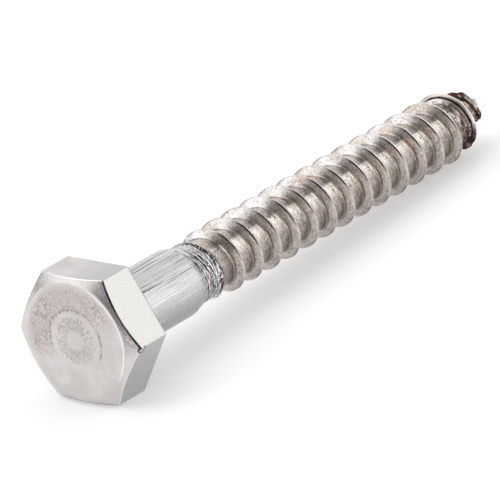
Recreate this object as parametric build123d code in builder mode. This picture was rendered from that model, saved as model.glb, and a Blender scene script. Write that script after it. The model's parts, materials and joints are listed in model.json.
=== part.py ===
from build123d import *
import os
from math import atan, cos, degrees, radians, sin, tan

# Hex lag screw: one cold-headed and thread-rolled piece of stainless steel.
# Lengths are millimetres. The screw is modelled upright on its head: the bearing face
# lies at Z = 0, the head is below it and the point is up. At the end it is laid down.

# Head
across_flats = 11.1125
head_height = 4.10
head_face_diameter = 10.26
head_chamfer_angle = 30.0
underhead_cone = 0.35

# Plain shank, and the neck that it narrows to where the thread was rolled
shank_diameter = 6.15
shank_length = 8.7
neck_diameter = 5.30
neck_taper_length = 2.2
shortest_neck = 0.20

# Right-hand wood thread
thread_diameter = 6.14
root_diameter = 4.48
pitch = 2.54
flank_angle = 24.0
crest_width = 0.20
ridge_end_height = 0.06
crest_run_in_turns = 1.5
groove_run_in_turns = 1.4
thread_end_angle = 140.5

# Gimlet point, pinched off a little to one side
length_under_head = 52.0
point_length = 6.0
tip_diameter = 0.50
tip_offset = 0.60

# Points that a turn of each thread edge passes through
points_per_turn = 16

flats_radius = across_flats / 2
shank_radius = shank_diameter / 2
neck_radius = neck_diameter / 2
crest_radius = thread_diameter / 2
root_radius = root_diameter / 2
tip_radius = tip_diameter / 2
neck_start = shank_length + neck_taper_length
point_start = length_under_head - point_length
flank_slope = tan(radians(flank_angle))

# The thread has a whole number of turns, which end at the tip and fill the length
# above the neck. Its ridge begins and ends this wide at its foot.
ridge_end_width = crest_width + 2 * ridge_end_height * flank_slope
room_for_thread = length_under_head - neck_start - shortest_neck - ridge_end_width
turns = int(room_for_thread / pitch)
thread_start = length_under_head - ridge_end_width - turns * pitch
neck_end = thread_start - shortest_neck / 2
end_angle = radians(thread_end_angle)


def eased(share):
    """Smooth step from 0 to 1."""
    share = min(1.0, max(0.0, share))
    return share * share * (3 - 2 * share)


def point_share(height):
    """How far up the point a height is: 0 below it and 1 at the tip."""
    return max(0.0, (height - point_start) / point_length)


def rounded_off(radius, tip, height):
    """A radius that falls away to the tip in a parabola."""
    return tip + (radius - tip) * (1 - point_share(height) ** 2)


def crest_at(turn, height):
    """Radius of the crest: rising out of the neck, full, then falling away to the tip."""
    rise = crest_radius - neck_radius - ridge_end_height
    radius = neck_radius + ridge_end_height + rise * eased(turn / crest_run_in_turns)
    return rounded_off(radius, tip_radius + ridge_end_height, height)


def root_at(turn, height):
    """Radius at the bottom of the groove: sinking into the neck, full, then falling away."""
    sink = neck_radius - root_radius
    radius = neck_radius - sink * eased(turn / groove_run_in_turns)
    return rounded_off(radius, tip_radius, height)


def ridge_point(turn, edge):
    """Point on one of the ridge's four edges, so many turns from the thread's start.

    Edges 0 to 3 go up the screw: foot, crest, crest and foot.
    """
    middle = thread_start + ridge_end_width / 2 + turn * pitch
    reached = thread_start + (length_under_head - thread_start) * turn / turns
    flank = (crest_at(turn, reached) - root_at(turn, reached)) * flank_slope
    crest_half = crest_width / 2
    height = middle + (-crest_half - flank, -crest_half, crest_half, crest_half + flank)[edge]
    radius = crest_at(turn, height) if edge in (1, 2) else root_at(turn, height)
    angle = end_angle + radians(360 * turn)
    lean = tip_offset * point_share(height) ** 2
    return (
        lean * cos(end_angle) + radius * cos(angle),
        lean * sin(end_angle) + radius * sin(angle),
        height,
    )


def ridge_edge(turn, edge):
    """One turn of an edge of the ridge, which starts so many turns up."""
    with BuildLine() as line:
        Spline(*[ridge_point(turn + step / points_per_turn, edge) for step in range(points_per_turn + 1)])
    return line.edges()[0]


def full_circle(radius, centre):
    """Level circle that starts at the angle where the thread begins and ends."""
    with BuildLine(Plane(centre, x_dir=(cos(end_angle), sin(end_angle), 0))) as line:
        CenterArc((0, 0), radius, 0, 360)
    return line.edges()[0]


def flat_face(*corners):
    """Plane face through the corners."""
    return Face(Wire.make_polygon(corners, close=True))


# Head: a hexagonal prism with one flat towards +X, its outer face chamfered by a cone
corner_radius = flats_radius / cos(radians(30))
chamfer_at_corner = (corner_radius - head_face_diameter / 2) * tan(radians(head_chamfer_angle))
with BuildPart() as head:
    with BuildSketch(Plane.XY.offset(-head_height)):
        RegularPolygon(radius=flats_radius, side_count=6, major_radius=False, rotation=30)
    extrude(amount=head_height)
    with BuildSketch(Plane.XZ):
        with BuildLine():
            Polyline(
                (0, -head_height),
                (head_face_diameter / 2, -head_height),
                (corner_radius, chamfer_at_corner - head_height),
                (corner_radius, 0),
                (0, 0),
                close=True,
            )
        make_face()
    revolve(axis=Axis.Z, mode=Mode.INTERSECT)

# Shank and neck: turned in one profile that begins inside the head, with a small cone under
# the head. The profile is drawn at the angle where the thread begins, and its seam lies there.
across_seam = (sin(end_angle), -cos(end_angle), 0)
with BuildPart() as plain_end:
    add(head.part)
    with BuildSketch(Plane((0, 0, 0), x_dir=(cos(end_angle), sin(end_angle), 0), z_dir=across_seam)):
        with BuildLine():
            Polyline(
                (0, -head_height / 2),
                (shank_radius, -head_height / 2),
                (shank_radius, 0),
                (shank_radius + underhead_cone, 0),
                (shank_radius, underhead_cone),
                (shank_radius, shank_length),
                (neck_radius, neck_start),
                (neck_radius, neck_end),
                (0, neck_end),
                close=True,
            )
        make_face()
    revolve(axis=Axis.Z)

# Thread: ruled strips between the edges of a ridge that winds up the screw. Each turn has
# two flanks and a crest, and a strip of groove that joins it to the turn above.
ridge_edges = [[ridge_edge(turn, edge) for edge in range(4)] for turn in range(turns)]
thread_faces = []
for foot, lower_crest, upper_crest, upper_foot in ridge_edges:
    thread_faces.append(Face.make_surface_from_curves(foot, lower_crest))
    thread_faces.append(Face.make_surface_from_curves(lower_crest, upper_crest))
    thread_faces.append(Face.make_surface_from_curves(upper_crest, upper_foot))
for turn_below, turn_above in zip(ridge_edges, ridge_edges[1:]):
    thread_faces.append(Face.make_surface_from_curves(turn_below[3], turn_above[0]))

# The first turn rises from the neck's end, and the groove above it begins in a small step
neck_circle = full_circle(neck_radius, (0, 0, neck_end))
thread_faces.append(Face.make_surface_from_curves(neck_circle, ridge_edges[0][0]))
first_corners = [tuple(neck_circle @ 0)] + [ridge_point(0, edge) for edge in range(4)]
thread_faces.append(flat_face(*first_corners, ridge_point(1, 0)))

# The last turn closes on the blunt tip in the same way
tip_x = tip_offset * cos(end_angle)
tip_y = tip_offset * sin(end_angle)
blunt_tip = full_circle(tip_radius, (tip_x, tip_y, length_under_head))
thread_faces.append(Face.make_surface_from_curves(ridge_edges[-1][3], blunt_tip))
thread_faces.append(
    flat_face(ridge_point(turns - 1, 3), *[ridge_point(turns, edge) for edge in range(4)])
)
thread_faces.append(Face(Wire([blunt_tip])))

# The whole screw, still upright: the thread's skin is sewn on in place of the neck's end face
plain_faces = plain_end.faces().sort_by(Axis.Z)[:-1]
with BuildPart() as upright_screw:
    add(Solid(Shell(plain_faces + thread_faces)))

# At rest the screw lies on the rear edge of one flat and on the crests under its point.
# It tilts until the first of those crests, all of them below the flat, meets the floor.
turns_to_floor = (360 - thread_end_angle) / 360
floor_turns = [turns_to_floor + turn for turn in range(turns)]
floor_crests = [ridge_point(turn, 2) for turn in floor_turns]
tilt = degrees(atan(min((flats_radius - x) / height for x, y, height in floor_crests)))
lying_screw = Rot(0, 90 + tilt, 0) * upright_screw.part
lying_box = lying_screw.bounding_box()
to_floor = Pos(-lying_box.center().X, -lying_box.center().Y, -lying_box.min.Z)

with BuildPart() as lag_screw:
    add(to_floor * lying_screw)

os.makedirs("parts", exist_ok=True)
lag_screw.part.label = "lag_screw"
export_step(lag_screw.part, "parts/lag_screw.step")
print("tilt", round(tilt, 3), "turns", turns, "thread start", round(thread_start, 3))
print("bearing face centre", (to_floor * Location((0, 0, 0))).position)
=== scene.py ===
import json
from math import cos, pi, radians, sin, tan

import bmesh
import bpy
import numpy as np
from mathutils import Euler, Matrix, Vector


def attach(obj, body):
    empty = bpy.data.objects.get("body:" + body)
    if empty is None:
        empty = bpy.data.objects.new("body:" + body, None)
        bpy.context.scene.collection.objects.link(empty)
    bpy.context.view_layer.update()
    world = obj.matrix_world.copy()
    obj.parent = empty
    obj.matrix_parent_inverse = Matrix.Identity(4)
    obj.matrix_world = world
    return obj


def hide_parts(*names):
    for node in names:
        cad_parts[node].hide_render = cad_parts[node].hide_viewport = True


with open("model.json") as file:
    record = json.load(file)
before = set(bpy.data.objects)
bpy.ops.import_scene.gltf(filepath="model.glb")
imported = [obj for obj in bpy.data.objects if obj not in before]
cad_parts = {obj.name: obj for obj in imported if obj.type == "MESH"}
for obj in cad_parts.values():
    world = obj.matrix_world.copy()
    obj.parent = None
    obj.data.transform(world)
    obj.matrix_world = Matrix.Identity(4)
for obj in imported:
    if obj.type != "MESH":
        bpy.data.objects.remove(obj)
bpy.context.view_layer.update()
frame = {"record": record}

# Lengths are metres and angles round the screw are radians. The screw's own frame has z along
# its axis, from 0 at the bearing face to the tip, and angle 0 on the side that faces the floor.
MM = 0.001

# Head
ACROSS_FLATS = 11.1125 * MM
HEAD_HEIGHT = 4.10 * MM
HEAD_FACE_RADIUS = 5.13 * MM
HEAD_CHAMFER = radians(30)
EDGE_ROUND = 0.10 * MM
FACE_EDGE_ROUND = 0.25 * MM
CORNER_ROUND = 0.14 * MM
HEAD_ROW = 0.35 * MM

# Height in millimetres of the chamfer's cone where it would meet the axis
CHAMFER_FOOT = -(HEAD_HEIGHT + HEAD_FACE_RADIUS * tan(HEAD_CHAMFER)) / MM

# Shank and neck
SHANK_RADIUS = 3.075 * MM
SHANK_LENGTH = 8.7 * MM
UNDERHEAD_CONE = 0.35 * MM
NECK_RADIUS = 2.65 * MM
NECK_START = 10.9 * MM

# Marks on the neck: millimetres up the screw where each ring of the deepest ones would cross
# its top, millimetres from such a ring to the bright one beside it, and radians a millimetre
# of the rows of dashes
NECK_RINGS = (9.08, 9.88, 10.36)
NECK_RING_TO_BRIGHT = 0.24
NECK_DASH_WAVES = 26.0

# Thread
CREST_RADIUS = 3.07 * MM
ROOT_RADIUS = 2.24 * MM
PITCH = 2.54 * MM
TURNS = 16
FLANK_SLOPE = tan(radians(24))
CREST_HALF_WIDTH = 0.10 * MM
CREST_ROUND = 0.06 * MM
ROOT_ROUND = 0.14 * MM
RIDGE_END_HEIGHT = 0.06 * MM
THREAD_END_ANGLE = radians(140.5)

# Turns in which the crest rises out of the neck, and in which the groove sinks into it
CREST_RUN_IN = 1.5
ROOT_RUN_IN = 1.4

# Share of the root's round that is taken off the thread again, as rounding adds to it
ROUNDING_TAKEN_OFF = 0.12

# Uneven neck, where the rolling began: its depth, its start, the length in which it grows to
# full, radians of its waves in a millimetre, and how far past the first crest it reaches
NECK_RAG = 0.05 * MM
NECK_RAG_START = 9.0 * MM
NECK_RAG_GROWTH = 1.6 * MM
NECK_RAG_WAVES = 20
NECK_RAG_PAST_CREST = 0.3 * MM

# Torn point, where the rolling pinched it off: its depth, the turn where it starts, the turns
# in which it grows to full, and radians of its waves in a millimetre
TIP_RAG = 0.22 * MM
TIP_RAG_START = 13.6
TIP_RAG_GROWTH = 1.2
TIP_RAG_WAVES = 6

# Point
LENGTH = 52.0 * MM
POINT_LENGTH = 6.0 * MM
TIP_RADIUS = 0.25 * MM
TIP_OFFSET = 0.60 * MM

RIDGE_END_WIDTH = 2 * (CREST_HALF_WIDTH + RIDGE_END_HEIGHT * FLANK_SLOPE)
THREAD_START = LENGTH - RIDGE_END_WIDTH - TURNS * PITCH
FIRST_CREST = THREAD_START + RIDGE_END_WIDTH / 2

# Mesh: columns round the shaft and across a flat, steps round a corner of the hexagon, points
# on a fillet, evenly spaced rows of the shank and where they start, rows of each wedge and the
# lower one's least height, steps across the tip, rows in millimetres from a crest to the middle
# of the groove, and how near two points are merged
COLUMNS = 150
FLAT_COLUMNS = 25
CORNER_STEPS = 5
FILLET_POINTS = 5
SHANK_ROWS = 28
SHANK_ROWS_START = 0.7 * MM
WEDGE_ROWS = 40
WEDGE_LEAST_HEIGHT = 0.15 * MM
TIP_STEPS = 3
ROWS_OFF_CREST = [0, 0.06, 0.095, 0.13, 0.19, 0.28, 0.37, 0.44, 0.51, 0.62, 0.80, 1.03, 1.27]
MERGE_DISTANCE = 0.0005 * MM

# Material slots
HEAD, SHANK, THREAD = 0, 1, 2


def eased(share):
    """Smooth step from 0 to 1."""
    share = np.clip(share, 0, 1)
    return share * share * (3 - 2 * share)


def smooth_max(a, b, blend):
    """The larger of two lengths, with a fillet where they cross."""
    return (a + b + np.sqrt((a - b) ** 2 + blend**2)) / 2


def smooth_min(a, b, blend):
    """The smaller of two lengths, with a round where they cross."""
    return (a + b - np.sqrt((a - b) ** 2 + blend**2)) / 2


def point_share(z):
    """How far up the point a height is: 0 below it and 1 at the tip."""
    return np.clip((z - LENGTH + POINT_LENGTH) / POINT_LENGTH, 0, 1)


def rounded_off(radius, tip, z):
    """A radius that falls away to the tip in a parabola."""
    return tip + (radius - tip) * (1 - point_share(z) ** 2)


def from_first_crest(z, angle):
    """Turns from the thread's start to an angle, and pitches from the crest there up to a height."""
    turn_here = (angle - THREAD_END_ANGLE) / (2 * pi)
    return turn_here, (z - FIRST_CREST) / PITCH - turn_here


def winding(z, angle):
    """Turns from the thread's start to the nearest crest, and the distance along z from it."""
    turn_here, crests_up = from_first_crest(z, angle)
    nearest = np.round(crests_up)
    return turn_here + nearest, (crests_up - nearest) * PITCH


def core_radius(z):
    """Shank, cone, neck and the root of the thread, with no ridge on them."""
    under_head = np.clip(UNDERHEAD_CONE - z, 0, UNDERHEAD_CONE)
    to_neck = eased((z - SHANK_LENGTH) / (NECK_START - SHANK_LENGTH))
    plain = SHANK_RADIUS + under_head - (SHANK_RADIUS - NECK_RADIUS) * to_neck
    sink = (NECK_RADIUS - ROOT_RADIUS) * eased((z - THREAD_START) / PITCH / ROOT_RUN_IN)
    return rounded_off(plain - sink, TIP_RADIUS, z)


def ragged(z, angle, waves):
    """Uneven height from -1 to 1, longer round the shaft than along it."""
    along = z / MM * waves
    uneven = np.sin(along + 1.6 * np.sin(3 * angle + 0.4) + 0.6 * np.cos(7 * angle))
    finer = np.sin(1.7 * along - 1.0 * np.sin(5 * angle + 1.0) + 2 * np.sin(2 * angle))
    return (uneven + finer) / 2


def shaft_radius(z, angle):
    """Radius of the shank, neck, thread and point at a height and an angle."""
    turn, from_crest = winding(z, angle)
    rise = CREST_RADIUS - NECK_RADIUS - RIDGE_END_HEIGHT
    crest = NECK_RADIUS + RIDGE_END_HEIGHT + rise * eased(turn / CREST_RUN_IN)
    crest = rounded_off(crest, TIP_RADIUS + RIDGE_END_HEIGHT, z)
    flank = crest - (np.abs(from_crest) - CREST_HALF_WIDTH) / FLANK_SLOPE
    ridge = smooth_min(crest, flank, CREST_ROUND)
    core = core_radius(z)
    wound = (turn > 0) & (turn < TURNS)
    rolled = smooth_max(core, ridge, ROOT_ROUND) - ROOT_ROUND * ROUNDING_TAKEN_OFF
    radius = np.where(wound, rolled, core)
    first_ridge = (turn < 0) | ((turn < 1) & (from_crest < NECK_RAG_PAST_CREST))
    on_neck = first_ridge * eased((z - NECK_RAG_START) / NECK_RAG_GROWTH)
    near_tip = point_share(z) ** 0.5 * eased((turn - TIP_RAG_START) / TIP_RAG_GROWTH)
    radius = radius - NECK_RAG * on_neck * (1 + ragged(z, angle, NECK_RAG_WAVES)) / 2
    return radius - TIP_RAG * near_tip * (1 + ragged(z, angle * 2, TIP_RAG_WAVES)) / 2


def shaft_point(z, angle):
    """Points of the shaft's surface in the screw's own frame."""
    radius = shaft_radius(z, angle)
    lean = TIP_OFFSET * point_share(z) ** 2
    x = lean * cos(THREAD_END_ANGLE) + radius * np.cos(angle)
    y = lean * sin(THREAD_END_ANGLE) + radius * np.sin(angle)
    return np.stack([x, y, z + 0 * angle], axis=-1)


def face_corners(grid):
    """The four corners of every face between a grid's rows and columns."""
    return np.stack([grid[:-1, :-1], grid[:-1, 1:], grid[1:, 1:], grid[1:, :-1]], axis=-1)


def places_on_thread(z, angle):
    """Turn, distance from a crest, and 0, for face corners. A face keeps to one crest."""
    turn_here, crests_up = from_first_crest(z, angle)
    crest = np.round(crests_up.mean(axis=-1, keepdims=True))
    return np.stack([turn_here + crest, (crests_up - crest) * PITCH, 0 * z], axis=-1)


class SurfaceMesh:
    """Collects grids of points in the screw's own frame, with faces between neighbours."""

    def __init__(self):
        self.points = []
        self.faces = []
        self.slots = []
        self.places = []
        self.count = 0

    def add_grid(self, points, slot, z, angle):
        """Rows by columns of points of one slot, at these heights and unwrapped angles."""
        rows, columns = points.shape[:2]
        number = self.count + np.arange(rows * columns).reshape(rows, columns)
        self.faces.append(face_corners(number).reshape(-1, 4))
        self.places.append(places_on_thread(face_corners(z), face_corners(angle)).reshape(-1, 3))
        self.slots.append(np.full((rows - 1) * (columns - 1), slot))
        self.points.append(points.reshape(-1, 3))
        self.count += rows * columns

    def make_object(self, name, to_row, materials):
        """One mesh object in the row's frame, smooth shaded, with doubled points merged."""
        points = np.concatenate(self.points)
        faces = np.concatenate(self.faces)
        mesh = bpy.data.meshes.new(name)
        mesh.from_pydata(points.tolist(), [], faces.tolist())
        mesh.polygons.foreach_set("material_index", np.concatenate(self.slots).astype(np.int32))
        mesh.polygons.foreach_set("use_smooth", np.ones(len(faces), bool))
        own = mesh.attributes.new("own_mm", "FLOAT_VECTOR", "POINT")
        own.data.foreach_set("vector", (points / MM).astype(np.float32).ravel())
        place = np.concatenate(self.places) / np.array([1, MM, 1])
        on_thread = mesh.attributes.new("on_thread", "FLOAT_VECTOR", "CORNER")
        on_thread.data.foreach_set("vector", place.astype(np.float32).ravel())
        for material in materials:
            mesh.materials.append(material)
        mesh.transform(to_row)
        joined = bmesh.new()
        joined.from_mesh(mesh)
        bmesh.ops.remove_doubles(joined, verts=joined.verts, dist=MERGE_DISTANCE)
        joined.to_mesh(mesh)
        joined.free()
        mesh.validate()
        piece = bpy.data.objects.new(name, mesh)
        bpy.context.scene.collection.objects.link(piece)
        return piece


def filleted(profile, radii):
    """A polyline profile (points of radius and z) with its inner corners rounded."""
    rounded = [profile[0]]
    for before, corner, after, radius in zip(profile, profile[1:], profile[2:], radii):
        back = (before - corner) / np.linalg.norm(before - corner, axis=-1, keepdims=True)
        ahead = (after - corner) / np.linalg.norm(after - corner, axis=-1, keepdims=True)
        half = np.arccos(np.clip((back * ahead).sum(-1, keepdims=True), -1, 1)) / 2
        reach = radius / np.tan(half)
        for share in np.linspace(0, 1, FILLET_POINTS):
            start = corner + back * reach * (1 - share)
            end = corner + ahead * reach * share
            rounded.append(start + (end - start) * share)
    rounded.append(profile[-1])
    return rounded


def hexagon_columns():
    """Points round the hexagon's outline, in order, with small arcs at its corners."""
    half_flat = ACROSS_FLATS / 2 * tan(pi / 6)
    to_arc = CORNER_ROUND * tan(pi / 6)
    outline = []
    for side in range(6):
        facing = side * pi / 3
        for share in np.linspace(-1, 1, FLAT_COLUMNS):
            along = share * (half_flat - to_arc)
            outline.append([ACROSS_FLATS / 2 * cos(facing) - along * sin(facing),
                            ACROSS_FLATS / 2 * sin(facing) + along * cos(facing)])
        centre = (ACROSS_FLATS / 2 - CORNER_ROUND) / cos(pi / 6)
        for step in range(1, CORNER_STEPS):
            angle = facing + step / CORNER_STEPS * pi / 3
            corner = facing + pi / 6
            outline.append([centre * cos(corner) + CORNER_ROUND * cos(angle),
                            centre * sin(corner) + CORNER_ROUND * sin(angle)])
    outline.append(outline[0])
    return np.array(outline)


def add_head(surface):
    """The head: face, chamfer, six flats and bearing face, with rounded edges."""
    outline = hexagon_columns()
    reach = np.linalg.norm(outline, axis=1)
    angle = np.arctan2(outline[:, 1], outline[:, 0])
    fixed = np.ones_like(reach)
    chamfer_foot = -HEAD_HEIGHT + (reach - HEAD_FACE_RADIUS) * tan(HEAD_CHAMFER)
    corners = [
        (0 * reach, -HEAD_HEIGHT * fixed),
        (HEAD_FACE_RADIUS * fixed, -HEAD_HEIGHT * fixed),
        (reach, chamfer_foot),
        (reach, 0 * reach),
        (0 * reach, 0 * reach),
    ]
    profile = [np.stack(corner, axis=-1) for corner in corners]
    rounded = filleted(profile, [FACE_EDGE_ROUND, EDGE_ROUND, EDGE_ROUND])
    rows = [rounded[0]]
    for below, above in zip(rounded, rounded[1:]):
        steps = max(1, round(np.linalg.norm(above - below, axis=-1).max() / HEAD_ROW))
        rows += [below + (above - below) * step / steps for step in range(1, steps + 1)]
    rows = np.array(rows)
    x = rows[..., 0] * np.cos(angle)
    y = rows[..., 0] * np.sin(angle)
    points = np.stack([x, y, rows[..., 1]], axis=-1)[:, ::-1]
    surface.add_grid(points, HEAD, rows[..., 1], 0 * x)


def add_shaft(surface):
    """Rings for the shank, a ribbon that winds along the thread, and wedges at its two ends."""
    round_once = np.linspace(0, 2 * pi, COLUMNS + 1)
    first_row = FIRST_CREST - PITCH / 2 + (round_once - THREAD_END_ANGLE) / (2 * pi) * PITCH
    wedge_start = first_row[0] - WEDGE_LEAST_HEIGHT

    under_head = [-0.05 * MM, 0, 0.06 * MM, 0.2 * MM, UNDERHEAD_CONE, UNDERHEAD_CONE + 0.08 * MM]
    heights = np.concatenate([under_head, np.linspace(SHANK_ROWS_START, wedge_start, SHANK_ROWS)])
    z, angle = np.meshgrid(heights, round_once, indexing="ij")
    surface.add_grid(shaft_point(z, angle), SHANK, z, angle)

    share = np.linspace(0, 1, WEDGE_ROWS + 1)[:, None]
    z = wedge_start + (first_row - wedge_start) * share
    angle = np.broadcast_to(round_once, z.shape)
    surface.add_grid(shaft_point(z, angle), THREAD, z, angle)

    offsets = np.array([-row for row in ROWS_OFF_CREST[:0:-1]] + ROWS_OFF_CREST)[:, None] * MM
    wound = np.arange(COLUMNS * TURNS + 1) * 2 * pi / COLUMNS
    turn = (wound - THREAD_END_ANGLE) / (2 * pi)
    z = np.minimum(FIRST_CREST + turn * PITCH + offsets, LENGTH)
    angle = np.broadcast_to(wound, z.shape)
    surface.add_grid(shaft_point(z, angle), THREAD, z, angle)

    last_row = np.minimum(first_row + TURNS * PITCH, LENGTH)
    z = last_row + (LENGTH - last_row) * share
    angle = np.broadcast_to(round_once, z.shape)
    surface.add_grid(shaft_point(z, angle), THREAD, z, angle)

    rim = shaft_point(np.full_like(round_once, LENGTH), round_once)
    centre = rim[:-1].mean(axis=0)
    cap = np.array([rim + (centre - rim) * step / TIP_STEPS for step in range(TIP_STEPS + 1)])
    surface.add_grid(cap, THREAD, np.full_like(cap[..., 0], LENGTH), angle[: TIP_STEPS + 1])


def own_frame():
    """The screw's own frame in the row's, from the record's mounts."""
    mounts = {mount["name"]: mount for mount in frame["record"]["mounts"]}
    axis = Vector(mounts["shank"]["axis"]).normalized()
    on_axis = Vector(mounts["shank"]["pos_m"])
    origin = on_axis + axis * (Vector(mounts["bearing_face"]["pos_m"]) - on_axis).dot(axis)
    across = Vector((0, 1, 0))
    down = across.cross(axis)
    turn = Matrix((down, across, axis)).transposed().to_4x4()
    return Matrix.Translation(origin) @ turn


class Nodes:
    """Makes shader nodes with one short call each. Most calls return the node's output."""

    def __init__(self, tree):
        self.tree = tree

    def plug(self, value, socket):
        """Links an output to a socket, or sets the socket to a plain value."""
        if isinstance(value, bpy.types.NodeSocket):
            self.tree.links.new(value, socket)
        else:
            socket.default_value = value

    def math(self, operation, *values):
        node = self.tree.nodes.new("ShaderNodeMath")
        node.operation = operation
        for value, socket in zip(values, node.inputs):
            self.plug(value, socket)
        return node.outputs[0]

    def product(self, first, *others):
        for other in others:
            first = self.math("MULTIPLY", first, other)
        return first

    def ramp(self, value, low, high, to_low=0.0, to_high=1.0):
        """Smooth step between two values."""
        node = self.tree.nodes.new("ShaderNodeMapRange")
        node.interpolation_type = "SMOOTHSTEP"
        for number, socket in zip((value, low, high, to_low, to_high), node.inputs):
            self.plug(number, socket)
        return node.outputs[0]

    def band(self, value, middle, flat, soft):
        """1 within flat of the middle, falling to 0 over the next soft."""
        away = self.math("ABSOLUTE", self.math("SUBTRACT", value, middle))
        return self.ramp(away, flat, flat + soft, 1.0, 0.0)

    def without(self, mask):
        """0 where a mask is 1, and 1 where it is 0."""
        return self.ramp(mask, 0, 1, 1.0, 0.0)

    def vector(self, x, y, z):
        node = self.tree.nodes.new("ShaderNodeCombineXYZ")
        for value, socket in zip((x, y, z), node.inputs):
            self.plug(value, socket)
        return node.outputs[0]

    def dot(self, vector, direction):
        node = self.tree.nodes.new("ShaderNodeVectorMath")
        node.operation = "DOT_PRODUCT"
        self.plug(vector, node.inputs[0])
        self.plug(direction, node.inputs[1])
        return node.outputs["Value"]

    def distance(self, vector, point):
        node = self.tree.nodes.new("ShaderNodeVectorMath")
        node.operation = "DISTANCE"
        self.plug(vector, node.inputs[0])
        self.plug(point, node.inputs[1])
        return node.outputs["Value"]

    def side(self, x, y):
        """Degrees round the screw's axis from its top, towards the side that the camera sees."""
        across = self.math("ARCTAN2", self.product(y, -1.0), self.product(x, -1.0))
        return self.math("DEGREES", across)

    def between(self, value, start, full, end, gone):
        """Rises from start to full, and falls again from end to gone."""
        return self.product(self.ramp(value, start, full), self.ramp(value, end, gone, 1.0, 0.0))

    def noise(self, vector, scales, detail, roughness):
        """Noise from 0 to 1, with so many waves a millimetre along each direction."""
        scaled = self.tree.nodes.new("ShaderNodeVectorMath")
        scaled.operation = "MULTIPLY"
        self.plug(vector, scaled.inputs[0])
        self.plug(scales, scaled.inputs[1])
        node = self.tree.nodes.new("ShaderNodeTexNoise")
        self.plug(scaled.outputs[0], node.inputs["Vector"])
        self.plug(1.0, node.inputs["Scale"])
        self.plug(detail, node.inputs["Detail"])
        self.plug(roughness, node.inputs["Roughness"])
        return node.outputs[0]

    def mix(self, share, first, second):
        """Colour between two colours."""
        node = self.tree.nodes.new("ShaderNodeMix")
        node.data_type = "RGBA"
        self.plug(share, node.inputs["Factor"])
        for colour, name in ((first, "A"), (second, "B")):
            socket = [s for s in node.inputs if s.name == name and s.type == "RGBA"][0]
            self.plug(colour, socket)
        return [s for s in node.outputs if s.type == "RGBA"][0]

    def attribute(self, name):
        """A vector kept in the mesh."""
        node = self.tree.nodes.new("ShaderNodeAttribute")
        node.attribute_name = name
        return node.outputs["Vector"]

    def parts(self, vector):
        """The three numbers of a vector."""
        node = self.tree.nodes.new("ShaderNodeSeparateXYZ")
        self.plug(vector, node.inputs[0])
        return list(node.outputs)

    def bump(self, height, depth_mm, below=None):
        """A normal for a height from 0 to 1, so many millimetres deep, over another normal."""
        node = self.tree.nodes.new("ShaderNodeBump")
        self.plug(1.0, node.inputs["Strength"])
        self.plug(depth_mm * MM, node.inputs["Distance"])
        self.plug(height, node.inputs["Height"])
        if below is not None:
            self.plug(below, node.inputs["Normal"])
        return node.outputs[0]


# Colours of the steel: linear red, green, blue and alpha
FACE_DULL = (0.59, 0.555, 0.545, 1)
FACE_CLEAN = (0.67, 0.645, 0.635, 1)
FACE_STAIN = (0.30, 0.225, 0.205, 1)
FACE_HAZE = (0.40, 0.32, 0.30, 1)
FACE_BURST = (0.34, 0.27, 0.26, 1)
FACE_RING = (0.24, 0.17, 0.17, 1)
FACE_RIM_HIGHLIGHT = (0.95, 0.93, 0.92, 1)
FLAT_PAINTED_LIGHT = (0.665, 0.66, 0.64, 1)
FLAT_PAINTED_SHADE = (0.52, 0.51, 0.525, 1)
FLAT_SPECK = (0.30, 0.29, 0.29, 1)
CHAMFER_DULL = (0.27, 0.255, 0.255, 1)
EDGE_HIGHLIGHT = (0.97, 0.96, 0.95, 1)
EDGE_SHADE_LINE = (0.03, 0.03, 0.03, 1)
EDGE_OUTLINE_SHADE = (0.10, 0.10, 0.10, 1)
BURR_DARK = (0.08, 0.08, 0.08, 1)
DRAWN_DULL = (0.55, 0.545, 0.55, 1)
DRAWN_CLEAN = (0.70, 0.695, 0.69, 1)
DRAWN_UNDERSIDE_SHADE = (0.36, 0.345, 0.345, 1)
DRAWN_SCRATCH = (0.09, 0.08, 0.08, 1)
DRAWN_SHINE = (0.90, 0.895, 0.88, 1)
DRAWN_SPECK = (0.15, 0.135, 0.135, 1)
NECK_RIDGE_HIGHLIGHT = (0.98, 0.97, 0.95, 1)
NECK_HOLLOW_SHADE = (0.012, 0.008, 0.006, 1)
NECK_END_SHADOW = (0.04, 0.025, 0.02, 1)
FLANK_DULL = (0.49, 0.445, 0.42, 1)
FLANK_CLEAN = (0.67, 0.62, 0.59, 1)
FLANK_PALE_REFLECTION = (0.72, 0.705, 0.70, 1)
FLANK_BEIGE = (0.56, 0.49, 0.435, 1)
FLANK_FOOT_SHADE = (0.22, 0.17, 0.145, 1)
FLANK_ROSY_REFLECTION = (0.95, 0.66, 0.50, 1)
GROOVE_DULL = (0.50, 0.43, 0.375, 1)
GROOVE_CLEAN = (0.80, 0.745, 0.69, 1)
GROOVE_DARK_REFLECTION = (0.27, 0.22, 0.19, 1)
GROOVE_HIGHLIGHT_DULL = (0.72, 0.665, 0.60, 1)
GROOVE_HIGHLIGHT = (0.93, 0.90, 0.85, 1)
GROOVE_UNDERSIDE_SHADE = (0.46, 0.405, 0.37, 1)
GROOVE_UNDERSIDE_DEEP_SHADE = (0.29, 0.24, 0.21, 1)
THREAD_STAIN = (0.18, 0.12, 0.085, 1)
THREAD_PIT = (0.20, 0.155, 0.13, 1)
THREAD_GLINT = (0.97, 0.94, 0.91, 1)
THREAD_OUTLINE_SHADE = (0.20, 0.18, 0.17, 1)
CREST_SHADE_LINE = (0.04, 0.03, 0.03, 1)
CREST_HIGHLIGHT = (0.95, 0.94, 0.93, 1)
FOOT_HIGHLIGHT = (1.0, 0.86, 0.64, 1)
FOOT_SHADE_LINE = (0.12, 0.07, 0.045, 1)
FOOT_DEEP_SHADE = (0.08, 0.055, 0.045, 1)
POINT_STAIN = (0.16, 0.11, 0.08, 1)
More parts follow.
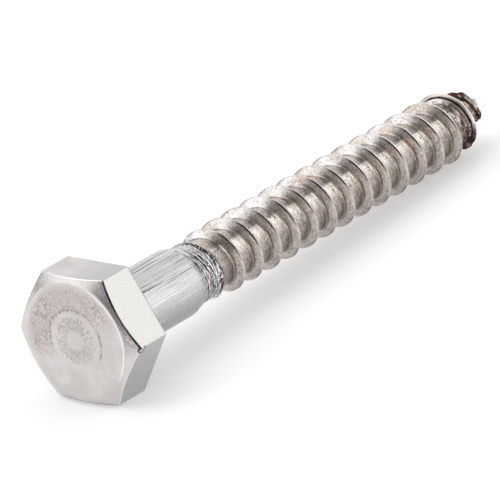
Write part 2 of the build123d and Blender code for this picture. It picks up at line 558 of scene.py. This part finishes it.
POINT_TAN_DULL = (0.36, 0.27, 0.20, 1)
POINT_TAN = (0.78, 0.67, 0.52, 1)
POINT_BELOW = (0.62, 0.56, 0.55, 1)
LAST_SHADE_LINE = (0.015, 0.007, 0.006, 1)
LAST_CREST_HIGHLIGHT = (1.0, 0.98, 0.97, 1)
SCALE_BLACK = (0.008, 0.003, 0.003, 1)
SCALE_RED = (0.27, 0.11, 0.08, 1)
SCALE_PALE = (0.80, 0.66, 0.61, 1)
TIP_DULL = (0.48, 0.47, 0.49, 1)
TIP_CLEAN = (0.96, 0.95, 0.97, 1)

# Limits of the masks below are degrees for side, millimetres for x, y, z and distances, turns
# of the thread for turn and groove_up, and levels from 0 to 1 for noises.


def steel_material(name):
    """A metal material, its nodes and its shader."""
    material = bpy.data.materials.new(name)
    material.use_nodes = True
    shader = material.node_tree.nodes["Principled BSDF"]
    shader.inputs["Metallic"].default_value = 1.0
    return material, Nodes(material.node_tree), shader


def to_nearest_flat(n, x, own):
    """Millimetres inwards from the nearest of the head's six flats."""
    across = n.math("ABSOLUTE", x)
    for turned in (60, 120):
        facing = (cos(radians(turned)), sin(radians(turned)), 0.0)
        across = n.math("MAXIMUM", across, n.math("ABSOLUTE", n.dot(own, facing)))
    return n.math("SUBTRACT", ACROSS_FLATS / MM / 2, across)


def face_colour(n, own, x, y, side, reach, on_face, grain, cloud):
    """Colour of the head's face with a painted highlight round its rim, and its three masks: its stains,
    and the punch's ring and burst.
    """
    wobble = n.math("ADD", reach, n.product(n.math("SUBTRACT", cloud, 0.5), 0.4))
    outwards = n.vector(n.math("DIVIDE", x, reach), n.math("DIVIDE", y, reach), reach)
    spokes = n.noise(outwards, (14.0, 14.0, 2.6), 3.0, 0.65)
    upper_left = n.ramp(n.dot(own, (-0.90, 0.44, 0.0)), -1.4, 2.2)
    arcs = n.math("MAXIMUM", upper_left, n.between(side, 50, 75, 110, 130))
    ring = n.product(n.band(wobble, 2.7, 0.04, 0.14), n.ramp(grain, 0.46, 0.54), on_face, arcs)
    burst = n.product(n.between(wobble, 0.6, 1.1, 1.8, 2.4), n.ramp(spokes, 0.49, 0.55), on_face)
    stained = n.product(
        n.ramp(grain, 0.42, 0.58), on_face, upper_left,
        n.ramp(cloud, 0.36, 0.56, 0.3, 1.0), n.between(reach, 2.2, 3.0, 4.3, 5.1),
    )
    haze = n.product(on_face, upper_left, n.between(reach, 2.0, 3.2, 4.4, 5.1), 0.22)
    # Painted highlight round the face's rounded rim, on the side that the camera sees
    rim = n.product(n.band(reach, 5.07, 0.03, 0.05), n.between(side, 15, 40, 110, 130))
    colour = n.mix(n.ramp(cloud, 0.3, 0.7), FACE_DULL, FACE_CLEAN)
    colour = n.mix(n.product(stained, 0.72), colour, FACE_STAIN)
    colour = n.mix(haze, colour, FACE_HAZE)
    colour = n.mix(n.product(burst, n.ramp(upper_left, 0, 1, 0.30, 0.52)), colour, FACE_BURST)
    colour = n.mix(n.product(ring, 0.50), colour, FACE_RING)
    return n.mix(n.product(rim, 0.8), colour, FACE_RIM_HIGHLIGHT), stained, ring, burst


def head_steel():
    """Cold-headed steel: a stained and struck face, flats with painted light and shade, and a chamfer
    edge with painted highlight and shade lines and a burr.
    """
    material, n, shader = steel_material("cold_headed_steel")
    own = n.attribute("own_mm")
    x, y, z = n.parts(own)
    side = n.side(x, y)
    grain = n.noise(own, (5.0, 5.0, 5.0), 4.0, 0.65)
    fine = n.noise(own, (9.0, 9.0, 9.0), 3.0, 0.6)
    cloud = n.noise(own, (0.6, 0.6, 0.6), 3.0, 0.5)
    reach = n.math("SQRT", n.math("ADD", n.product(x, x), n.product(y, y)))
    chamfer = n.math("MULTIPLY_ADD", reach, tan(HEAD_CHAMFER), CHAMFER_FOOT)
    above_chamfer = n.math("SUBTRACT", z, chamfer)
    to_flat = to_nearest_flat(n, x, own)
    from_edge = n.math("ADD", n.math("ABSOLUTE", above_chamfer), to_flat)
    from_edge = n.math("ADD", from_edge, n.product(n.math("SUBTRACT", grain, 0.5), 0.08))
    on_face = n.ramp(z, -4.06, -4.0, 1.0, 0.0)
    on_flat = n.product(n.ramp(above_chamfer, 0.02, 0.08), n.ramp(to_flat, 0.06, 0.12, 1.0, 0.0))
    on_chamfer = n.product(n.without(on_face), n.without(on_flat))
    colour, stained, ring, burst = face_colour(n, own, x, y, side, reach, on_face, grain, cloud)

    # Flats: painted light on one flat, painted shade on the one below it and near the top flat's corner
    # with the first, with scattered specks
    painted_lit = n.product(n.between(side, 29.5, 30.5, 89.5, 90.5), on_flat)
    colour = n.mix(painted_lit, colour, FLAT_PAINTED_LIGHT)
    painted_shaded = n.math(
        "MAXIMUM",
        n.between(side, 89.5, 90.5, 149.5, 150.5),
        n.between(side, -8, 25, 29.5, 30.5),
    )
    colour = n.mix(n.product(painted_shaded, on_flat), colour, FLAT_PAINTED_SHADE)
    specks = n.product(n.ramp(fine, 0.62, 0.70), on_flat)
    colour = n.mix(n.product(specks, 0.55), colour, FLAT_SPECK)

    # Chamfer: mottled and darker beside the lit flat
    mottled = n.ramp(grain, 0.36, 0.60, 0.35, 1.0)
    dull = n.product(on_chamfer, n.between(side, 20, 32, 84, 100), mottled)
    colour = n.mix(n.product(dull, 0.75), colour, CHAMFER_DULL)

    # Chamfer's edge: a painted highlight along the top flat, softer along the flat with painted shade,
    # a black line of painted shade along the flat with painted light, with a burr at its lower corner,
    # and a painted dark outline further round and along the head's rear edge
    painted_highlight = n.math(
        "MAXIMUM",
        n.between(side, -30, -28, 29, 30),
        n.product(n.between(side, 91, 93, 148, 150), 0.5),
    )
    edge = n.band(from_edge, 0.0, 0.035, 0.05)
    colour = n.mix(n.product(edge, painted_highlight, 0.85), colour, EDGE_HIGHLIGHT)
    painted_dark_line = n.product(n.band(from_edge, 0.03, 0.05, 0.04), n.between(side, 29.5, 30.5, 90, 92))
    colour = n.mix(n.product(painted_dark_line, n.ramp(cloud, 0.3, 0.6, 0.7, 1.0)), colour, EDGE_SHADE_LINE)
    beyond = n.math("MAXIMUM", n.ramp(side, -34, -31, 1.0, 0.0), n.ramp(side, 150, 153))
    outline = n.product(n.band(from_edge, 0.0, 0.06, 0.05), beyond)
    rear_shade = n.band(z, -0.03, 0.03, 0.05)
    colour = n.mix(n.product(n.math("MAXIMUM", outline, rear_shade), 0.8), colour, EDGE_OUTLINE_SHADE)
    from_burr = n.distance(own, (0.15, -6.30, -3.15))
    burr = n.product(n.band(from_burr, 0.36, 0.035, 0.04), n.ramp(x, -0.15, 0.0))
    colour = n.mix(burr, colour, BURR_DARK)
    n.plug(colour, shader.inputs["Base Color"])

    coarse = n.math("ADD", n.product(grain, 0.5), n.product(stained, 0.5))
    n.plug(n.ramp(coarse, 0.1, 0.8, 0.24, 0.42), shader.inputs["Roughness"])
    struck = n.math("ADD", n.product(burst, -0.5), n.math("SUBTRACT", n.product(ring, -1.0), painted_dark_line))
    n.plug(n.bump(struck, 0.03, n.bump(fine, 0.010, n.bump(grain, 0.015))), shader.inputs["Normal"])
    return material


def drawn_noises(n, own):
    """Lines along the screw, and an even grain."""
    return n.noise(own, (9.0, 9.0, 0.11), 3.0, 0.7), n.noise(own, (6.0, 6.0, 4.0), 4.0, 0.65)


def drawn_colour(n, own, side, lines, grain):
    """Colour of the drawn bar: fine dark lines along it, specks, and painted shade on the underside."""
    broad = n.noise(own, (1.3, 1.3, 0.10), 2.0, 0.5)
    colour = n.mix(n.ramp(grain, 0.3, 0.7), DRAWN_DULL, DRAWN_CLEAN)
    # Painted shade on the underside
    shade = n.product(n.ramp(n.math("ABSOLUTE", side), 74, 108), 0.6)
    colour = n.mix(shade, colour, DRAWN_UNDERSIDE_SHADE)
    near_top = n.between(side, -15, 5, 40, 80)
    scratched = n.product(n.ramp(lines, 0.53, 0.575), n.ramp(broad, 0.40, 0.52), near_top)
    colour = n.mix(n.product(scratched, 0.9), colour, DRAWN_SCRATCH)
    shine = n.product(n.ramp(lines, 0.46, 0.40), n.ramp(broad, 0.56, 0.46), 0.6)
    colour = n.mix(shine, colour, DRAWN_SHINE)
    return n.mix(n.product(n.ramp(grain, 0.61, 0.67), 0.80), colour, DRAWN_SPECK)


def add_neck_rings(n, own, z, side, share, colour):
    """Rows of dashes over a colour, dark marks with painted shade in the hollows and painted highlights
    on the ridges, and their height.
    """
    bend = n.math("SUBTRACT", n.noise(own, (0.8, 0.8, 0.8), 2.0, 0.5), 0.5)
    level = n.math("ADD", n.math("MULTIPLY_ADD", side, -0.0015, z), n.product(bend, 0.7))
    rows = n.math("SINE", n.product(level, NECK_DASH_WAVES))
    broken = n.noise(own, (2.4, 2.4, 5.5), 3.0, 0.6)
    share = n.product(share, n.ramp(z, 8.8, 9.5))
    strength = n.ramp(n.between(side, -20, 60, 125, 160), 0, 1, 0.2, 0.75)
    # Dark dashes deepen the hollows with painted shade, stronger on the side that the camera sees;
    # bright ones are painted highlights on the ridges
    hollow_shade = n.product(n.ramp(rows, 0.05, 0.45), n.ramp(broken, 0.44, 0.50), share, strength)
    ridge_highlight = n.product(n.ramp(rows, -0.1, -0.5), n.ramp(broken, 0.54, 0.48), share)

    # The deepest marks stand in rings of painted shade that climb round the side, with a painted
    # highlight beside each
    climbing = n.math("ADD", n.math("MULTIPLY_ADD", side, -0.012, z), n.product(bend, 0.4))
    marked = n.product(share, n.between(side, 15, 35, 100, 130))
    for ring in NECK_RINGS:
        painted_dark_line = n.product(n.band(climbing, ring, 0.06, 0.05), n.ramp(broken, 0.40, 0.46), marked)
        hollow_shade = n.math("MAXIMUM", hollow_shade, painted_dark_line)
        beside = n.band(climbing, ring + NECK_RING_TO_BRIGHT, 0.08, 0.06)
        painted_highlight = n.product(beside, n.ramp(broken, 0.60, 0.50), marked)
        ridge_highlight = n.math("MAXIMUM", ridge_highlight, painted_highlight)
    colour = n.mix(n.product(ridge_highlight, 0.9), colour, NECK_RIDGE_HIGHLIGHT)
    colour = n.mix(hollow_shade, colour, NECK_HOLLOW_SHADE)
    return colour, n.product(n.ramp(rows, 0.8, -0.8), share)


def shank_steel():
    """Drawn steel with fine lines along it, and broken rings where the rolling began."""
    material, n, shader = steel_material("drawn_steel")
    own = n.attribute("own_mm")
    x, y, z = n.parts(own)
    side = n.side(x, y)
    lines, grain = drawn_noises(n, own)
    colour = drawn_colour(n, own, side, lines, grain)
    colour, height = add_neck_rings(n, own, z, side, 1.0, colour)
    n.plug(colour, shader.inputs["Base Color"])
    n.plug(n.ramp(grain, 0.2, 0.8, 0.20, 0.32), shader.inputs["Roughness"])
    normal = n.bump(lines, 0.03, n.bump(grain, 0.014))
    n.plug(n.bump(height, 0.05, normal), shader.inputs["Normal"])
    return material


def flank_colour(n, along, turn, off_crest, side, cloud, streaks, blotches):
    """Colour of the flanks: a painted pale reflection with beige clouds on top, painted shade, brown,
    towards the foot at the side, and a painted rosy reflection.
    """
    off = n.math("ABSOLUTE", off_crest)
    clouds = n.noise(along, (9.0, 1.6, 1.0), 3.0, 0.5)
    flank = n.mix(n.ramp(streaks, 0.38, 0.62), FLANK_DULL, FLANK_CLEAN)
    # Painted pale reflection on top, with beige clouds in it
    pale_reflection = n.mix(n.ramp(clouds, 0.40, 0.62), FLANK_PALE_REFLECTION, FLANK_BEIGE)
    flank = n.mix(n.between(side, -75, -25, 0, 26), flank, pale_reflection)
    # Painted shade, brown, towards the foot at the side
    shade_to_foot = n.product(n.ramp(off, 0.12, 0.42), n.between(side, 12, 42, 70, 110))
    flank = n.mix(n.product(shade_to_foot, n.ramp(blotches, 0.3, 0.6, 0.22, 0.58)), flank, FLANK_FOOT_SHADE)
    # A painted rosy reflection in a band across the flank
    rosy_reflection = n.product(n.between(side, 32, 42, 60, 80), n.ramp(turn, 6, 12))
    rosy_reflection = n.product(n.band(off_crest, -0.30, 0.04, 0.08), rosy_reflection)
    return n.mix(n.product(rosy_reflection, n.ramp(cloud, 0.46, 0.58), 0.5), flank, FLANK_ROSY_REFLECTION)


def groove_colour(n, side, streaks, blotches):
    """Colour of the grooves: beige on top, a band of painted dark reflection, a painted highlight beside
    it, and painted shade, brown, below.
    """
    groove = n.mix(n.ramp(streaks, 0.36, 0.64), GROOVE_DULL, GROOVE_CLEAN)
    # A band of painted dark reflection, and a painted highlight beside it
    dark_reflection = n.product(n.between(side, 2, 26, 36, 40), n.ramp(blotches, 0.35, 0.6, 0.10, 0.58))
    groove = n.mix(dark_reflection, groove, GROOVE_DARK_REFLECTION)
    pale_reflection = n.mix(n.ramp(streaks, 0.38, 0.64), GROOVE_HIGHLIGHT_DULL, GROOVE_HIGHLIGHT)
    groove = n.mix(n.between(side, 36, 40, 48, 70), groove, pale_reflection)
    # Painted shade, brown, below
    below = n.mix(n.ramp(blotches, 0.38, 0.62), GROOVE_UNDERSIDE_SHADE, GROOVE_UNDERSIDE_DEEP_SHADE)
    return n.mix(n.ramp(n.math("ABSOLUTE", side), 55, 92), groove, below)


def rolled_colour(n, along, turn, off_crest, side, grain, cloud, streaks, blotches):
    """Colour of the rolled thread: flanks and grooves, with stains and pits over both, and painted shade
    along the crests near the outline.
    """
    off = n.math("ABSOLUTE", off_crest)
    in_groove = n.ramp(off, 0.42, 0.54)
    flank = flank_colour(n, along, turn, off_crest, side, cloud, streaks, blotches)
    colour = n.mix(in_groove, flank, groove_colour(n, side, streaks, blotches))
    stain = n.product(n.ramp(grain, 0.53, 0.62), n.ramp(cloud, 0.42, 0.58))
    stain = n.product(stain, n.ramp(in_groove, 0, 1, 0.40, 0.90), n.ramp(turn, 8, 12, 1.0, 1.5))
    colour = n.mix(n.math("MINIMUM", stain, 1.0), colour, THREAD_STAIN)
    pitted = n.noise(along, (60.0, 9.0, 1.0), 2.0, 0.6)
    colour = n.mix(n.ramp(pitted, 0.56, 0.70, 0.0, 0.55), colour, THREAD_PIT)
    colour = n.mix(n.ramp(pitted, 0.44, 0.32, 0.0, 0.45), colour, THREAD_GLINT)
    # Painted shade along the crests near the screw's outline
    outline_shade = n.math("MAXIMUM", n.between(side, -70, -36, -31, -24), n.between(side, 118, 132, 138, 150))
    outline_shade = n.product(outline_shade, n.ramp(off, 0.08, 0.20, 0.70, 0.10))
    return n.mix(outline_shade, colour, THREAD_OUTLINE_SHADE)


def add_thread_lines(n, turn, crest_side, side, cloud, colour):
    """Thin lines along the crest and along the foot of the flank, over a colour."""
    full_crest = n.ramp(turn, 0.55, 1.1)

    # Crest: a thin line of painted shade on its head side, and a painted highlight on it further up the
    # screw
    crest_shade = n.product(n.band(crest_side, -0.105, 0.025, 0.035), n.between(side, 12, 38, 58, 85))
    crest_shade = n.product(crest_shade, full_crest, n.ramp(cloud, 0.3, 0.50, 0.55, 1.0))
    colour = n.mix(crest_shade, colour, CREST_SHADE_LINE)
    crest_highlight = n.product(n.band(crest_side, 0.0, 0.05, 0.05), n.between(side, -40, -10, 45, 70))
    colour = n.mix(n.product(crest_highlight, n.ramp(turn, 4, 9), 0.75), colour, CREST_HIGHLIGHT)

    # Foot: a brown line of painted shade, deeper painted shade in the groove beside it on the lower
    # side, and a gold painted highlight where the groove has its painted highlight
    foot_highlight = n.product(n.band(crest_side, -0.49, 0.03, 0.035), n.between(side, 34, 42, 55, 78))
    foot_highlight = n.product(foot_highlight, full_crest, n.ramp(cloud, 0.36, 0.50, 0.3, 1.0))
    colour = n.mix(foot_highlight, colour, FOOT_HIGHLIGHT)
    near_top = n.product(n.between(side, 5, 25, 36, 42), 0.6)
    foot_shade = n.math("MAXIMUM", near_top, n.between(side, 50, 68, 90, 150))
    foot_shade = n.product(foot_shade, n.band(crest_side, -0.39, 0.012, 0.035), full_crest)
    colour = n.mix(n.product(foot_shade, n.ramp(cloud, 0.32, 0.50, 0.35, 0.90)), colour, FOOT_SHADE_LINE)
    foot_deep_shade = n.product(n.band(crest_side, -0.56, 0.08, 0.14), n.between(side, 70, 100, 140, 165))
    return n.mix(n.product(foot_deep_shade, full_crest, 0.62), colour, FOOT_DEEP_SHADE)


def add_neck_end(n, own, z, turn, crest_side, side, lines, grain, colour):
    """The neck's grey and its rings over a colour, up to a line of painted shadow, and the rings'
    height.
    """
    climb = n.math("MAXIMUM", n.math("MULTIPLY_ADD", turn, 3.0, -0.63), -0.03)
    past_climb = n.ramp(turn, 0.365, 0.375)
    limit = n.math("ADD", n.product(climb, n.without(past_climb)), n.product(past_climb, 0.05))
    past = n.math("SUBTRACT", crest_side, limit)
    above = n.product(n.ramp(past, -0.02, 0.04), n.ramp(turn, 0.0, 0.01))
    neck = n.product(n.ramp(turn, 0.99, 1.0, 1.0, 0.0), n.without(above))
    colour = n.mix(neck, colour, drawn_colour(n, own, side, lines, grain))
    colour, height = add_neck_rings(n, own, z, side, neck, colour)
    # A line of painted shadow at the neck's end
    ending_shadow = n.product(n.between(turn, 0.02, 0.12, 0.42, 0.46), n.ramp(grain, 0.42, 0.50))
    ending_shadow = n.product(n.band(past, -0.07, 0.13, 0.05), ending_shadow)
    return n.mix(ending_shadow, colour, NECK_END_SHADOW), height


def add_point(n, along, z, turn, off_crest, crest_side, side, grain, streaks, blotches, colour):
    """The point over a colour: a tan groove, dark scale on the last ridge, and a bare grey tip.

    The second result is 1 where the scale is.
    """
    off = n.math("ABSOLUTE", off_crest)
    groove_up = n.math("ADD", turn, n.ramp(off_crest, -0.01, 0.01))
    stained = n.product(n.ramp(off, 0.30, 0.45), n.ramp(blotches, 0.46, 0.54))
    stained = n.product(n.between(groove_up, 13.6, 14.2, 14.98, 15.0), stained)
    colour = n.mix(n.product(stained, 0.8), colour, POINT_STAIN)
    tan_groove = n.mix(n.ramp(streaks, 0.42, 0.58), POINT_TAN_DULL, POINT_TAN)
    tan_groove = n.mix(n.ramp(side, 72, 90), tan_groove, POINT_BELOW)
    colour = n.mix(n.ramp(groove_up, 14.98, 15.02), colour, tan_groove)

    # The last turn before the scale has a black line of painted shade under a painted highlight on its
    # crest
    on_last = n.between(turn, 13.95, 14.05, 14.38, 14.44)
    colour = n.mix(n.product(n.band(crest_side, -0.24, 0.02, 0.05), on_last), colour, LAST_SHADE_LINE)
    painted_highlight = n.product(n.band(crest_side, -0.06, 0.06, 0.05), n.between(side, 0, 25, 75, 90))
    colour = n.mix(n.product(painted_highlight, on_last), colour, LAST_CREST_HIGHLIGHT)

    # Scale covers the ridge from there on, but for the tip and the crest just before it
    uneven = n.math("MULTIPLY_ADD", grain, 0.24, -0.12)
    on_ridge = n.ramp(n.math("ADD", off, n.product(uneven, 2.0)), 0.74, 0.60)
    bare = n.product(n.ramp(crest_side, -0.32, -0.22), n.between(turn, 15.14, 15.19, 15.28, 15.33))
    tip = n.math("MAXIMUM", n.ramp(z, 51.2, 51.6), bare)
    rust = n.product(n.ramp(n.math("ADD", turn, uneven), 14.34, 14.42), on_ridge, n.without(tip))
    flaked = n.noise(along, (15.0, 7.0, 1.0), 4.0, 0.7)
    scale = n.mix(n.ramp(flaked, 0.48, 0.57), SCALE_BLACK, SCALE_RED)
    scale = n.mix(n.ramp(flaked, 0.57, 0.62), scale, SCALE_PALE)
    scale = n.mix(n.product(n.band(crest_side, 0.0, 0.08, 0.08), 0.85), scale, SCALE_BLACK)
    colour = n.mix(rust, colour, scale)
    return n.mix(tip, colour, n.mix(n.ramp(grain, 0.4, 0.6), TIP_DULL, TIP_CLEAN)), rust


def thread_steel():
    """Rolled steel, warmer and more stained in the grooves, brown and rough at the point."""
    material, n, shader = steel_material("rolled_steel")
    own = n.attribute("own_mm")
    x, y, z = n.parts(own)
    side = n.side(x, y)
    along = n.attribute("on_thread")
    turn, off_crest = n.parts(along)[:2]
    streaks = n.noise(along, (16.0, 6.5, 1.0), 4.0, 0.65)
    blotches = n.noise(along, (24.0, 2.4, 1.0), 4.0, 0.62)
    lines, grain = drawn_noises(n, own)
    cloud = n.noise(own, (0.8, 0.8, 0.8), 3.0, 0.55)
    crest_side = n.math("ADD", off_crest, n.product(n.math("SUBTRACT", grain, 0.5), 0.07))

    colour = rolled_colour(n, along, turn, off_crest, side, grain, cloud, streaks, blotches)
    colour = add_thread_lines(n, turn, crest_side, side, cloud, colour)
    colour, rings = add_neck_end(n, own, z, turn, crest_side, side, lines, grain, colour)
    colour, rust = add_point(
        n, along, z, turn, off_crest, crest_side, side, grain, streaks, blotches, colour
    )
    n.plug(colour, shader.inputs["Base Color"])
    n.plug(n.ramp(rust, 0, 1, 1.0, 0.4), shader.inputs["Metallic"])
    rough = n.ramp(grain, 0.2, 0.8, 0.15, 0.28)
    n.plug(n.math("ADD", rough, n.product(rust, 0.3)), shader.inputs["Roughness"])
    normal = n.bump(streaks, 0.014, n.bump(grain, 0.016))
    height = n.math("ADD", n.product(rings, 0.05), n.product(grain, rust, 0.12))
    n.plug(n.bump(height, 1.0, normal), shader.inputs["Normal"])
    return material


surface = SurfaceMesh()
add_head(surface)
add_shaft(surface)
steels = [head_steel(), shank_steel(), thread_steel()]
screw = surface.make_object("lag_screw_steel", own_frame(), steels)
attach(screw, "root")
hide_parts("lag_screw")
print("triangles", 2 * len(screw.data.polygons))

# Floor and studio
floor_mesh = bpy.data.meshes.new("floor")
floor_mesh.from_pydata([(-4, -4, 0), (4, -4, 0), (4, 4, 0), (-4, 4, 0)], [], [(0, 1, 2, 3)])
floor = bpy.data.objects.new("floor", floor_mesh)
bpy.context.scene.collection.objects.link(floor)

PAPER_COLOUR = (0.70, 0.70, 0.70, 1)
PAPER_GLOW = 0.37


def paper_material():
    """Light paper, which glows a little where the camera or the metal sees it."""
    material = bpy.data.materials.new("paper")
    material.use_nodes = True
    n = Nodes(material.node_tree)
    shader = material.node_tree.nodes["Principled BSDF"]
    path = material.node_tree.nodes.new("ShaderNodeLightPath")
    seen = n.math("MAXIMUM", path.outputs["Is Camera Ray"], path.outputs["Is Glossy Ray"])
    seen = n.math("MAXIMUM", seen, path.outputs["Is Transmission Ray"])
    n.plug(PAPER_COLOUR, shader.inputs["Base Color"])
    n.plug(0.9, shader.inputs["Roughness"])
    n.plug((1, 1, 1, 1), shader.inputs["Emission Color"])
    n.plug(n.product(seen, PAPER_GLOW), shader.inputs["Emission Strength"])
    return material


floor_mesh.materials.append(paper_material())

# Studio: the radiance of its walls, and large soft panels, each with its azimuth and elevation,
# the half angles to the start and end of its soft edge, and its radiance
WALLS = 0.34
PANELS = [
    (-52, 26, 26, 34, 1.35),
    (27, 27, 28, 42, 1.05),
    (137, 24, 23, 35, 1.45),
    (130, 58, 22, 34, 1.40),
]


def studio_world():
    """Grey walls and ceiling, with soft panels to the right, behind and to the left."""
    world = bpy.data.worlds.new("studio")
    bpy.context.scene.world = world
    world.use_nodes = True
    n = Nodes(world.node_tree)
    direction = world.node_tree.nodes.new("ShaderNodeTexCoord").outputs["Generated"]
    level = WALLS
    for azimuth, elevation, full, edge, radiance in PANELS:
        middle = Vector((0, 0, 1))
        middle.rotate(Euler((0, radians(90 - elevation), radians(azimuth))))
        across = n.dot(direction, middle)
        panel = n.ramp(across, cos(radians(edge)), cos(radians(full)), WALLS, radiance)
        level = n.math("MAXIMUM", panel, level)
    n.plug(level, world.node_tree.nodes["Background"].inputs["Strength"])
    n.plug((1, 1, 1, 1), world.node_tree.nodes["Background"].inputs["Color"])


def softbox(name, towards, distance, size, radiance):
    """An area light that faces the object, given by the radiance of its face."""
    lamp = bpy.data.lights.new(name, "AREA")
    lamp.shape = "RECTANGLE"
    lamp.size, lamp.size_y = size
    lamp.energy = radiance * pi * size[0] * size[1]
    box = bpy.data.objects.new(name, lamp)
    direction = Vector(towards).normalized()
    box.location = direction * distance
    box.rotation_euler = direction.to_track_quat("Z", "Y").to_euler()
    box.visible_glossy = False
    bpy.context.scene.collection.objects.link(box)


studio_world()
softbox("top_box", (-0.1, 0.3, 1.0), 0.9, (1.0, 1.0), 0.75)

camera = bpy.data.objects.new("camera", bpy.data.cameras.new("camera"))
camera.location = (-0.516560, -0.453300, 0.299604)
camera.rotation_euler = (radians(66.29174), radians(8.90597), radians(-52.36454))
camera.data.lens = 638.382
camera.data.sensor_width = 36
bpy.context.scene.collection.objects.link(camera)
bpy.context.scene.camera = camera
bpy.context.scene.view_settings.view_transform = "Standard"
